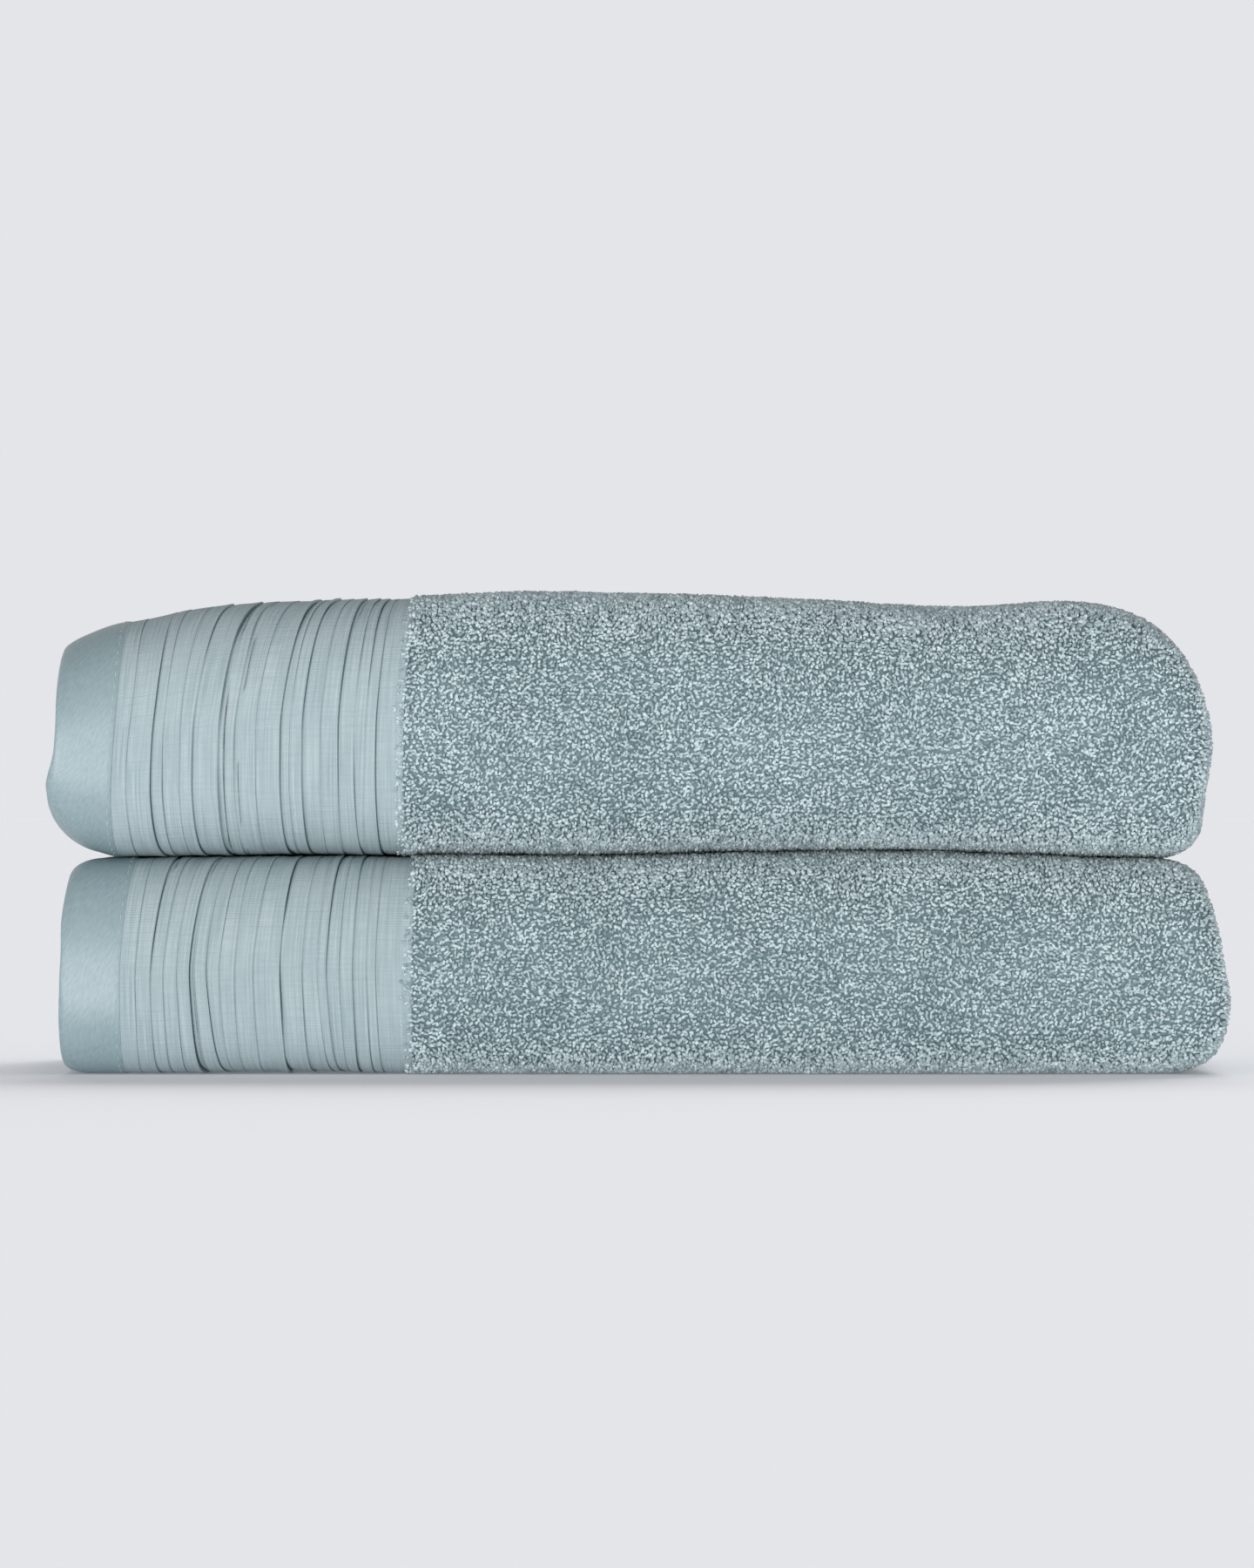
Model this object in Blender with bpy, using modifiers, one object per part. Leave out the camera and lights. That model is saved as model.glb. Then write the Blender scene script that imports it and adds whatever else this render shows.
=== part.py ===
"""A set of two folded bath towels, one lying on the other.

Each towel is one terry cloth with a pleated border and a flat satin hem sewn to each end. It is
folded in half twice along its length, which leaves four plies, and then in thirds across its
width, which leaves twelve. Ply 1 is the outside of the parcel. The cloth runs from the outer hem
along ply 1, round the outer loop at the right end into ply 4, round a small loop at the left end
into ply 3, and round the inner loop at the right end into ply 2, which ends at the inner hem.

Metres, +Z up, +X from the hems to the closed end, and the rounded front fold faces -Y. The
origin is the middle of the set's footprint, on the surface that it lies on.
"""

import math
from types import SimpleNamespace

import bmesh
import bpy
from mathutils import Vector

# One towel laid flat
TOWEL_LENGTH = 1.40
TOWEL_WIDTH = 0.70
HEM_WIDTH = 0.0185
BORDER_WIDTH = 0.0885
TERRY_THICKNESS = 0.0044
BORDER_THICKNESS = 0.0020
HEM_THICKNESS = 0.0024
THREAD_RADIUS = 0.0002
STITCH_INSET = 0.0015
SIDE_STITCH_INSET = 0.008

# Fits
PIECE_GAP = 0.0003
THREAD_GAP = 0.0003
THREAD_RISE = 0.002
ROW_CLEARANCE = 0.001

# Air between plies: the lower towel is pressed flat by the upper one
LOWER_PLY_AIR = 0.00122
UPPER_PLY_AIR = 0.00256

# Folds
PLIES = 4
THIRDS = 3
LOOP_STRETCH = 1.6
LEFT_LOOP_INSET = 0.0035
TOP_PANEL_OVERHANG = 3.0
BORDER_PLY_EASE = 0.028
LOWER_SLACK = 0.0
UPPER_SLACK = 0.014

# How the towels lie on each other
TOWEL_GAP = 0.0008
UPPER_LEFT_STEP = -0.0026
UPPER_BACK_STEP = 0.002

# Height along the towel, from its left end at 0 to its right end at 1, as a share of the stack
LOWER_TOP_LINE = ((0.0, 1.0), (0.5, 1.0), (0.68, 1.02), (0.86, 0.995), (1.0, 0.965))
UPPER_TOP_LINE = ((0.0, 0.82), (0.06, 0.88), (0.15, 0.955), (0.44, 1.0), (0.65, 0.955),
                  (0.78, 0.93), (0.9, 0.97), (1.0, 0.98))

# Rounding of each end in side view: the height share where the end sticks out furthest, then for
# the foot below it and the head above it how far it draws in, and how square its corner is
END_RAMP = 0.13
LOWER_LEFT_END = (0.40, (0.0093, 3.0), (0.0093, 2.0))
LOWER_RIGHT_END = (0.35, (0.0111, 2.0), (0.0124, 1.5))
UPPER_LEFT_END = (0.31, (0.0151, 2.0), (0.0120, 2.0))
UPPER_RIGHT_END = (0.44, (0.0074, 1.2), (0.0395, 2.0))

# Fineness of the meshes
TERRY_COLUMNS = (0.0, 0.2, 0.4, 0.6, 0.75, 0.86, 0.94, 1.0)
BORDER_COLUMNS = (0.0, 0.33, 0.67, 1.0)
HEM_COLUMNS = (0.0, 0.5, 1.0)
OUTER_LOOP_STEPS = 7
SMALL_LOOP_STEPS = 5
BACK_FOLD_STEPS = 6
FRONT_FOLD_STEPS = 9

# Middle of each ply, counted in plies from the inside of the parcel
PLY_1, PLY_2, PLY_3, PLY_4 = 3.5, 2.5, 1.5, 0.5

# Where each level goes beside the borders, which leave the thicker terry plies more room
LEVELS_AT_BORDER = ((0.0, 0.0), (PLY_4, 0.6), (PLY_3, 1.75), (PLY_2, 2.68), (PLY_1, PLY_1), (4.0, 4.0))

# Colours, as red, green and blue from 0 to 255
TERRY_COLOUR = (150, 170, 175)
BORDER_COLOUR = (172, 190, 194)
HEM_COLOUR = (160, 179, 182)
THREAD_COLOUR = (166, 184, 188)


def eased(share):
    """0 to 1 with a level start and a level end."""
    share = min(max(share, 0.0), 1.0)
    return share * share * (3 - 2 * share)


def height_along(line, share):
    """The height that a line's points give at a share of the length, eased from point to point."""
    share = min(max(share, line[0][0]), line[-1][0])
    for (start, low), (end, high) in zip(line, line[1:]):
        if share <= end:
            return low + (high - low) * eased((share - start) / (end - start))
    return line[-1][1]


def drawn_in(end, up):
    """How far an end lies inside its furthest point, at a share of the stack's height."""
    peak, foot, head = end
    depth, square = foot if up < peak else head
    reach = (peak - up) / peak if up < peak else (up - peak) / (1 - peak)
    reach = min(reach, 1.0)
    return depth * (1 - (1 - reach**square) ** (1 / square))


def folded_towel(name, ply_air, slack, top_line, left_end, right_end):
    """The sizes of one folded towel, worked out from the cloth."""
    towel = SimpleNamespace(name=name, top_line=top_line, left_end=left_end, right_end=right_end)
    towel.pitch = TERRY_THICKNESS + ply_air
    towel.stack = THIRDS * PLIES * towel.pitch - ply_air
    towel.seam_x = HEM_WIDTH + BORDER_WIDTH

    # Across the width: two panels, the longer top panel, and the two folds between them
    overhang = TOP_PANEL_OVERHANG * towel.pitch
    folds = math.pi * (PLIES / 2 + PLIES) * towel.pitch
    towel.panel = (TOWEL_WIDTH - folds - overhang) / THIRDS
    towel.top_panel = towel.panel + overhang

    # Along the length: four plies and three loops
    towel.loop = LOOP_STRETCH * towel.pitch
    outer_half = math.pi * math.hypot(1.5 * towel.loop, 1.5 * towel.pitch) / math.sqrt(2)
    small_half = math.pi * math.hypot(0.5 * towel.loop, 0.5 * towel.pitch) / math.sqrt(2)
    towel.left_x = LEFT_LOOP_INSET + 0.5 * towel.loop + TERRY_THICKNESS / 2
    loops = outer_half + 2 * small_half
    towel.right_x = (TOWEL_LENGTH - slack - loops + 2 * towel.left_x) / PLIES
    towel.length = towel.right_x + 1.5 * towel.loop + TERRY_THICKNESS / 2
    towel.front = towel.panel / 2 + (PLIES / 2 + PLY_1) * towel.pitch + TERRY_THICKNESS / 2
    towel.x_step, towel.y_step, towel.under = 0.0, towel.front, None
    return towel


def plies_from_inside(towel, x, level):
    """A level in plies from the inside, where the border plies lie thinner than the terry ones."""
    beside_border = 1 - eased((x - towel.seam_x) / BORDER_PLY_EASE + 1)
    for (start, low), (end, high) in zip(LEVELS_AT_BORDER, LEVELS_AT_BORDER[1:]):
        if level <= end:
            moved = low + (high - low) * (level - start) / (end - start)
            return level + (moved - level) * beside_border
    return level


def across(towel, way, depth):
    """(y, z) of a ply a depth out from the inside of the parcel. The way goes 0 to 1 over the
    inner panel, to 2 round the back fold, to 3 over the bottom panel, to 4 round the front fold
    and to 5 over the top panel."""
    pitch, panel = towel.pitch, towel.panel
    front, back = -panel / 2, panel / 2
    if way <= 1:
        return front + way * panel, PLIES * pitch + depth
    if way <= 2:
        turn = math.pi / 2 - math.pi * (way - 1)
        return back + depth * math.cos(turn), PLIES * pitch + depth * math.sin(turn)
    if way <= 3:
        return back - (way - 2) * panel, PLIES * pitch - depth
    if way <= 4:
        turn = -math.pi / 2 - math.pi * (way - 3)
        radius = depth + PLIES / 2 * pitch
        return front + radius * math.cos(turn), 1.5 * PLIES * pitch + radius * math.sin(turn)
    return front + (way - 4) * towel.top_panel, 2 * PLIES * pitch + depth


def settled(towel, x, y, z):
    """Where a point of the ideal parcel ends up once the ends have rounded and the stack sagged."""
    middle_span = THIRDS * PLIES * towel.pitch - towel.pitch
    up = (z - towel.pitch / 2) / middle_span
    inside = min(max(up, 0.0), 1.0)
    left = 1 - eased(x / END_RAMP)
    right = eased((x - towel.length + END_RAMP) / END_RAMP)
    moved = x + left * drawn_in(towel.left_end, inside) - right * drawn_in(towel.right_end, inside)
    world_x = moved + towel.x_step
    stack = towel.stack * height_along(towel.top_line, moved / towel.length)
    low = top_of(towel.under, world_x) + TOWEL_GAP if towel.under else 0.0
    middle_z = low + TERRY_THICKNESS / 2 + up * (stack - TERRY_THICKNESS)
    return Vector((world_x, y + towel.y_step, middle_z))


def top_of(towel, world_x):
    """The height of a towel's top at a place along the set."""
    share = (world_x - towel.x_step) / towel.length
    return towel.stack * height_along(towel.top_line, share)


def middle_of_ply(towel, x, level, way):
    """A point in the middle of the cloth's thickness."""
    depth = plies_from_inside(towel, x, level) * towel.pitch
    return settled(towel, x, *across(towel, way, depth))


def ways_across():
    """The rows of every piece, so that neighbours have facets side by side."""
    back = [1 + step / BACK_FOLD_STEPS for step in range(BACK_FOLD_STEPS)]
    front = [3 + step / FRONT_FOLD_STEPS for step in range(FRONT_FOLD_STEPS)]
    return [0.0, *back, 2.0, *front, 4.0, 5.0]


def spaced(start, end, shares):
    return [start + (end - start) * share for share in shares]


def loop(towel, x, level, radius, start, side, steps):
    """(x, level) round a loop. Start is 1 from its outer ply and side is 1 at the right end."""
    turns = [math.pi * step / steps for step in range(1, steps)]
    bulge = side * radius * towel.loop
    return [(x + bulge * math.sin(t), level + start * radius * math.cos(t)) for t in turns]


def terry_columns(towel):
    """(x, level) along the terry cloth, from the outer seam to the inner one."""
    seam = towel.seam_x + PIECE_GAP / 2
    over_terry = spaced(seam, towel.right_x, TERRY_COLUMNS)
    over_border = spaced(towel.left_x, seam, BORDER_COLUMNS)[:-1]
    whole = over_border + over_terry
    columns = [(x, PLY_1) for x in over_terry]
    columns += loop(towel, towel.right_x, 2.0, 1.5, 1, 1, OUTER_LOOP_STEPS)
    columns += [(x, PLY_4) for x in reversed(whole)]
    columns += loop(towel, towel.left_x, 1.0, 0.5, -1, -1, SMALL_LOOP_STEPS)
    columns += [(x, PLY_3) for x in whole]
    columns += loop(towel, towel.right_x, 2.0, 0.5, -1, 1, SMALL_LOOP_STEPS)
    columns += [(x, PLY_2) for x in reversed(over_terry)]
    return columns


def cloth_piece(towel, name, columns, thickness, colour, roughness):
    """A sheet over (x, level) columns and every way across, made a shell by Solidify."""
    ways = ways_across()
    mesh = bpy.data.meshes.new(f"{towel.name}_{name}")
    sheet = bmesh.new()
    bmesh.ops.create_grid(sheet, x_segments=len(columns) - 1, y_segments=len(ways) - 1, size=1)
    for point in sheet.verts:
        column = round((point.co.x + 1) / 2 * (len(columns) - 1))
        row = round((point.co.y + 1) / 2 * (len(ways) - 1))
        point.co = middle_of_ply(towel, *columns[column], ways[row])
    sheet.to_mesh(mesh)
    sheet.free()
    mesh.shade_smooth()
    piece = add_piece(towel, name, mesh, colour, roughness)
    shell = piece.modifiers.new("cloth thickness", "SOLIDIFY")
    shell.thickness = thickness
    shell.offset = 0
    shell.use_even_offset = True
    return piece


def laid_on(middles, sideways, lifts):
    """Points lifted square off a bent strip of cloth, evenly on each side of every bend."""
    points = []
    for number, (middle, side, lift) in enumerate(zip(middles, sideways, lifts)):
        before = middles[max(number - 1, 0)]
        after = middles[min(number + 1, len(middles) - 1)]
        into = (middle - before).normalized() if number else (after - middle).normalized()
        out_of = (after - middle).normalized() if after != middle else into
        along = (into + out_of) / 2
        points.append(middle + along.cross(side).normalized() * lift / along.length)
    return points


def thread_piece(towel, name, points):
    """A row of stitching as one thin cord that lies on the cloth."""
    curve = bpy.data.curves.new(f"{towel.name}_{name}", "CURVE")
    curve.dimensions = "3D"
    curve.bevel_depth = THREAD_RADIUS
    curve.bevel_resolution = 0
    curve.use_fill_caps = True
    spline = curve.splines.new("POLY")
    spline.points.add(len(points) - 1)
    for place, point in zip(spline.points, points):
        place.co = (*point, 1)
    return add_piece(towel, name, curve, THREAD_COLOUR, 0.7)


def lift_on(thickness):
    return thickness / 2 + THREAD_GAP + THREAD_RADIUS


def end_stitching(towel, name, x, level, thickness):
    """Stitching parallel to a hem, from one side row to the other, on the towel's right side."""
    stop = SIDE_STITCH_INSET + ROW_CLEARANCE
    ways = [stop / towel.panel, *ways_across()[1:-1], 5 - stop / towel.top_panel]
    middles = [middle_of_ply(towel, x, level, way) for way in ways]
    facing = -1 if level == PLY_1 else 1
    beside = [middle_of_ply(towel, x + PIECE_GAP, level, way) for way in ways]
    sideways = [facing * (near - middle) for near, middle in zip(beside, middles)]
    return thread_piece(towel, name, laid_on(middles, sideways, [lift_on(thickness)] * len(ways)))


def side_stitching(towel, name, way):
    """Stitching along a side hem: over ply 1, and round the loops along plies 4 and 3."""
    over_border = [STITCH_INSET] + spaced(0, HEM_WIDTH, HEM_COLUMNS)[1:]
    over_border += spaced(HEM_WIDTH, towel.seam_x, BORDER_COLUMNS)[1:-1]
    over_border += [towel.seam_x - 2 * THREAD_RISE, towel.seam_x - THREAD_RISE]
    over_terry = terry_columns(towel)
    over_terry = over_terry[:over_terry.index((towel.right_x, PLY_3))]
    columns = [(x, PLY_1) for x in over_border] + over_terry
    lifts = [lift_on(HEM_THICKNESS)] * (len(over_border) - 1)
    lifts += [lift_on(TERRY_THICKNESS)] * (len(columns) - len(lifts))
    middles = [middle_of_ply(towel, *column, way) for column in columns]
    beside = [middle_of_ply(towel, *column, way + PIECE_GAP) for column in columns]
    sideways = [near - middle for near, middle in zip(beside, middles)]
    return thread_piece(towel, name, laid_on(middles, sideways, lifts))


def add_piece(towel, name, data, colour, roughness):
    piece = bpy.data.objects.new(f"{towel.name}_{name}", data)
    towel.collection.objects.link(piece)
    piece.parent = towel.empty
    piece.matrix_parent_inverse = towel.empty.matrix_world.inverted()
    data.materials.append(cloth_material(piece.name, colour, roughness))
    towel.pieces.append(piece)
    return piece


def cloth_material(name, colour, roughness):
    material = bpy.data.materials.new(name)
    material.use_nodes = True
    shader = material.node_tree.nodes["Principled BSDF"]
    linear = [((part / 255 + 0.055) / 1.055) ** 2.4 for part in colour]
    shader.inputs["Base Color"].default_value = (*linear, 1)
    shader.inputs["Roughness"].default_value = roughness
    shader.inputs["Metallic"].default_value = 0.0
    return material


def make_end(towel, which, level):
    """One end of a towel: its border, its hem and the two rows of stitching that hold them."""
    hem_edge = HEM_WIDTH
    border = spaced(hem_edge + PIECE_GAP / 2, towel.seam_x - PIECE_GAP / 2, BORDER_COLUMNS)
    hem = spaced(0.0, hem_edge - PIECE_GAP / 2, HEM_COLUMNS)
    cloth_piece(towel, f"{which}_pleated_border", [(x, level) for x in border],
                BORDER_THICKNESS, BORDER_COLOUR, 0.85)
    cloth_piece(towel, f"{which}_end_hem", [(x, level) for x in hem],
                HEM_THICKNESS, HEM_COLOUR, 0.55)
    end_stitching(towel, f"{which}_hem_stitching", hem_edge - STITCH_INSET, level, HEM_THICKNESS)
    end_stitching(towel, f"{which}_border_stitching", towel.seam_x - STITCH_INSET, level,
                  BORDER_THICKNESS)


def make_towel(towel, collection):
    """Every piece of one towel, under an empty on the line along which the towel lifts."""
    towel.collection, towel.pieces = collection, []
    towel.empty = bpy.data.objects.new(towel.name, None)
    towel.empty.empty_display_size = 0.05
    towel.empty.location = (towel.length / 2 + towel.x_step, towel.y_step, 0)
    collection.objects.link(towel.empty)
    bpy.context.view_layer.update()
    cloth_piece(towel, "terry_cloth", terry_columns(towel), TERRY_THICKNESS, TERRY_COLOUR, 0.95)
    make_end(towel, "outer", PLY_1)
    make_end(towel, "inner", PLY_2)
    side_inset = SIDE_STITCH_INSET
    side_stitching(towel, "back_side_stitching", 5 - side_inset / towel.top_panel)
    side_stitching(towel, "front_side_stitching", side_inset / towel.panel)


def centre_on_origin(towels):
    """Moves the towels together until the middle of their footprint is the origin."""
    bpy.context.view_layer.update()
    graph = bpy.context.evaluated_depsgraph_get()
    corners = [piece.evaluated_get(graph).matrix_world @ Vector(corner)
               for towel in towels for piece in towel.pieces
               for corner in piece.evaluated_get(graph).bound_box]
    for axis in (0, 1):
        reach = [corner[axis] for corner in corners]
        for towel in towels:
            towel.empty.location[axis] -= (min(reach) + max(reach)) / 2


def main():
    for thing in list(bpy.data.objects):
        bpy.data.objects.remove(thing, do_unlink=True)
    collection = bpy.data.collections.new("bath_towel_set")
    bpy.context.scene.collection.children.link(collection)

    lower = folded_towel("lower", LOWER_PLY_AIR, LOWER_SLACK, LOWER_TOP_LINE,
                         LOWER_LEFT_END, LOWER_RIGHT_END)
    upper = folded_towel("upper", UPPER_PLY_AIR, UPPER_SLACK, UPPER_TOP_LINE,
                         UPPER_LEFT_END, UPPER_RIGHT_END)
    upper.under = lower
    upper.x_step = UPPER_LEFT_STEP
    upper.y_step = upper.front + UPPER_BACK_STEP
    for towel in (lower, upper):
        make_towel(towel, collection)
    centre_on_origin((lower, upper))


main()
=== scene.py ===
from math import cos, hypot, pi, radians, sin, sqrt
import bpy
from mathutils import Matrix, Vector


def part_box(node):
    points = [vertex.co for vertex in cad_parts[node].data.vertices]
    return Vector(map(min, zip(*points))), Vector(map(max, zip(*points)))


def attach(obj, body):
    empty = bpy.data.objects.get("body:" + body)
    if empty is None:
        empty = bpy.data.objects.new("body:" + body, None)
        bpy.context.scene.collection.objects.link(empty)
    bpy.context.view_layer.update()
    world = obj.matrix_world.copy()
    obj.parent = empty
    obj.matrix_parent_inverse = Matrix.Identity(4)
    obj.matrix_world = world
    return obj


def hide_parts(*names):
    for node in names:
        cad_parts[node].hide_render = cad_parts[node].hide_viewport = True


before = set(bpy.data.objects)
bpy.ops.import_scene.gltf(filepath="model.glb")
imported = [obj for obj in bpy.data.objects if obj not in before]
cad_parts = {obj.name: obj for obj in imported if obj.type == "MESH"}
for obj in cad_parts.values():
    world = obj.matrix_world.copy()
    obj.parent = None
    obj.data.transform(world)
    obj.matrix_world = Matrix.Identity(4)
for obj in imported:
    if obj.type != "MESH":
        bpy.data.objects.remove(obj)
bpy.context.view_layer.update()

from types import SimpleNamespace

import bmesh
import bpy
import numpy as np

# One towel laid flat, in metres, as in the CAD model
TOWEL_LENGTH = 1.40
TOWEL_WIDTH = 0.70
HEM_WIDTH = 0.0185
BORDER_WIDTH = 0.0885
TERRY_THICKNESS = 0.0044
SIDE_STITCH_INSET = 0.008

# How the CAD model folds and stacks the towels
LOWER_PLY_AIR = 0.00122
UPPER_PLY_AIR = 0.00256
PLIES = 4
THIRDS = 3
LOOP_STRETCH = 1.6
LEFT_LOOP_INSET = 0.0035
TOP_PANEL_OVERHANG = 3.0
BORDER_PLY_EASE = 0.028
UPPER_SLACK = 0.014
TOWEL_GAP = 0.0008
UPPER_LEFT_STEP = -0.0026
BACK_FOLD_STEPS = 6
FRONT_FOLD_STEPS = 9
PLY_1, PLY_2, PLY_3, PLY_4 = 3.5, 2.5, 1.5, 0.5
LEVELS_AT_BORDER = (
    (0.0, 0.0), (PLY_4, 0.6), (PLY_3, 1.75), (PLY_2, 2.68), (PLY_1, PLY_1), (4.0, 4.0),
)
# Height of the stack along the towel, as (share of its length, share of its height)
LOWER_TOP_LINE = (
    (0.0, 0.985), (0.1, 1.0), (0.5, 1.0), (0.68, 1.02), (0.86, 0.995), (1.0, 0.965),
)
UPPER_TOP_LINE = (
    (0.0, 0.78), (0.027, 0.825), (0.057, 0.872), (0.087, 0.893), (0.117, 0.920), (0.15, 0.938),
    (0.22, 0.953), (0.30, 0.963), (0.44, 0.984), (0.55, 0.968), (0.65, 0.938), (0.78, 0.915),
    (0.9, 0.960), (1.0, 0.975),
)

# How far along the towel each end's shape reaches
LEFT_RAMP, RIGHT_RAMP = 0.16, 0.19
# An end, as (height share that sticks out furthest, foot, head, how far in the whole end lies),
# where foot and head are (how far it draws in, how square its corner is)
LOWER_LEFT_END = (0.42, (0.0015, 3.0), (0.0046, 1.3), 0.0014)
LOWER_RIGHT_END = (0.35, (0.0095, 2.0), (0.0070, 1.2), 0.0003)
UPPER_LEFT_END = (0.25, (0.0022, 2.0), (0.0045, 1.15), 0.0014)
UPPER_RIGHT_END = (0.44, (0.0042, 1.2), (0.0355, 2.0), -0.0010)
# The open end also pinches, as ((reach along the towel, rise of the foot), (reach, fall of the
# head))
LOWER_PINCH = ((0.007, 0.003), (0.008, 0.004))
UPPER_PINCH = ((0.018, 0.014), (0.006, 0.0015))
# How far the cloth slides along the towel at the crest and at the foot of the front fold
LOWER_HEAD_SLIDE = (
    (0, 0), (0.0185, 0.001), (0.027, 0.004), (0.07, 0.004), (0.107, 0.001), (0.2, 0),
)
LOWER_FOOT_SLIDE = (
    (0, 0), (0.0185, 0.0004), (0.03, 0.0025), (0.075, 0.002), (0.107, 0), (0.2, 0),
)
UPPER_HEAD_SLIDE = (
    (0, 0), (0.0185, 0.001), (0.030, 0.004), (0.043, 0.009), (0.07, 0.0105), (0.087, 0.0075),
    (0.107, 0.005), (0.15, 0.002), (0.2, 0),
)
UPPER_FOOT_SLIDE = (
    (0, 0), (0.0185, 0.001), (0.03, 0.0028), (0.075, 0.0022), (0.107, 0.001), (0.2, 0),
)
# How uneven the cloth lies, round its folds and at its two ends
FOLD_SWELL = 0.0011
FRONT_SWELL_SHARE = 1.3
LEFT_END_WOBBLE, RIGHT_END_WOBBLE = 0.0006, 0.0012

# The outermost turn is squarer than a circle, where the folds above and below press on it
LOOP_SQUARE = 2.8
# Round folds are squarer at the foot, where the weight rests, than at the head
FOLD_HEAD_SQUARE = 2.3
FOLD_FOOT_SQUARE = 3.0

# Cloths, by half their thickness without pile
TERRY_HALF = 0.0011
SIDE_HEM_HALF = 0.0016
SIDE_HEM_WIDTH = 0.0095
SIDE_HEM_STEP = 0.001
HEM_HALF = 0.0011
HEM_LIFT = 0.0009
BORDER_TOP = 0.0017
BORDER_BACK = -0.0009
FLOOR_CLEARANCE = 0.0001

# Pile: how far apart its tufts are, and a tuft's size, with length and width in pitches
FINE_PITCH = 0.0010
PLAIN_PITCH = 0.0013
ROW_SHARE = 0.866
TUFT_SCATTER = 0.36
TUFT_LENGTH = 1.38
TUFT_WIDTH = 0.86
TUFT_HEIGHT = 0.0014
TUFT_EMBED = 0.0003
LENGTH_SPREAD, WIDTH_SPREAD, HEIGHT_SPREAD = (0.75, 1.2), (0.8, 1.2), (0.55, 1.25)
# The loops lie slantwise more often than not, one way here and another there, in radians
HEADING, HEADING_SWIRL, HEADING_STRAY = 0.7, 0.9, 0.75
LEAN_STRAY, LEAN_SWIRL = 0.00034, 0.00025
# A tuft's corners, as (ahead in half lengths, aside in half widths, share of its height, share of
# its lean): four at its narrow foot, four at its plump waist and two along its ridge
TUFT_CORNERS = (
    (-0.35, -0.45, 0, 0), (0.35, -0.45, 0, 0), (0.35, 0.45, 0, 0), (-0.35, 0.45, 0, 0),
    (-1, -0.75, 0.62, 0.7), (0.75, -1, 0.62, 0.7), (1, 0.75, 0.62, 0.7), (-0.75, 1, 0.62, 0.7),
    (-0.5, 0, 1, 1), (0.5, 0, 1, 1),
)
TUFT_FACES = (
    (0, 2, 1), (0, 3, 2), (0, 1, 5), (0, 5, 4), (1, 2, 6), (1, 6, 5), (2, 3, 7), (2, 7, 6),
    (3, 0, 4), (3, 4, 7), (4, 5, 9), (4, 9, 8), (6, 7, 8), (6, 8, 9), (5, 6, 9), (7, 4, 8),
)
# How near its top each of those corners is, for the painted shade that darkens each loop towards
# its root
TUFT_TIPS = [0.0] * 4 + [0.85] * 4 + [1.0] * 2
# The pile runs this far past the edge of the border, raggedly
PILE_OVER_BORDER = 0.0022

# A pleat where it is at its deepest, as (place, height) from the line of its fold: a lip that
# overhangs a narrow gap, out of which the next stretch of cloth rises
PLEAT_SHAPE = (
    (-0.0036, 0.0), (-0.0022, 0.00010), (-0.0012, 0.00024), (-0.0006, 0.00036), (-0.0002, 0.00034),
    (0.00002, 0.00018), (0.00002, -0.0004), (-0.00004, -0.0010), (0.00014, -0.0012),
    (0.00028, -0.0010), (0.0004, -0.0005), (0.0007, -0.00018), (0.0012, -0.00005), (0.0024, 0.0),
)
# Cloth within this of a fold belongs to its pleat
PLEAT_REACH = 0.0012
PLEAT_BOTTOM = 0.0011
PLAIN_STEP = 0.0009
# A band runs under the hem and over the terry, and stops just inside their side edges
UNDER_HEM = 0.003
OVER_TERRY = 0.0010
BAND_EDGE_INSET = 0.0004
BAND_EDGE_DROP, BAND_EDGE_EASE = 0.0006, 0.0008
# How high the band's fine and broad unevenness is
RIPPLE, BROAD_RIPPLE = 0.00006, 0.00016
# How far the upper towel's border sinks onto the lower one, and between which places
BORDER_SAG = 0.0012
SAG_FROM, SAG_FALL = 0.012, 0.008
SAG_TO, SAG_RISE = 0.118, 0.014

# Where a row is sewn, from the edge that it holds
HEM_ROW_INSET = 0.0013
BORDER_ROW_INSET = 0.0016
STITCH_LENGTH = 0.0022
STITCH_SPACING = 0.0030
STITCH_YARN = 0.00016

# Pleats, as (place at mid-height, how wide its gap is, how deep it is at the crest, the middle and
# the foot of the front fold, how far its fold drifts along the towel towards the foot)
UPPER_PLEATS = (
    (0.0230, 0.4, (0.15, 0.1, 0.15), 0), (0.0301, 0.9, (0.25, 0.8, 0.6), 0.0004),
    (0.0336, 0.4, (0.2, 0.06, 0.35), 0), (0.0385, 0.5, (0.2, 0.1, 0.1), 0),
    (0.0427, 0.9, (1.2, 0.45, 0.55), 0), (0.0504, 1.9, (1.1, 0.6, 0.6), -0.0006),
    (0.0556, 1.1, (0.3, 0.2, 0.15), 0), (0.0620, 0.5, (0.15, 0.1, 0.1), 0),
    (0.0696, 1.0, (1.3, 0.5, 0.55), 0.0004), (0.0724, 0.6, (0.4, 0.1, 0.1), 0.0004),
    (0.0765, 1.0, (1.1, 0.65, 0.4), 0), (0.0820, 0.5, (0.3, 0.1, 0.1), 0),
    (0.0873, 1.1, (0.8, 0.35, 0.5), 0), (0.0925, 0.9, (0.8, 0.0, 0.5), 0.001),
    (0.0958, 0.7, (0.9, 0.0, 0.0), -0.0008), (0.0992, 0.9, (0.1, 0.55, 0.65), 0),
)
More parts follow.
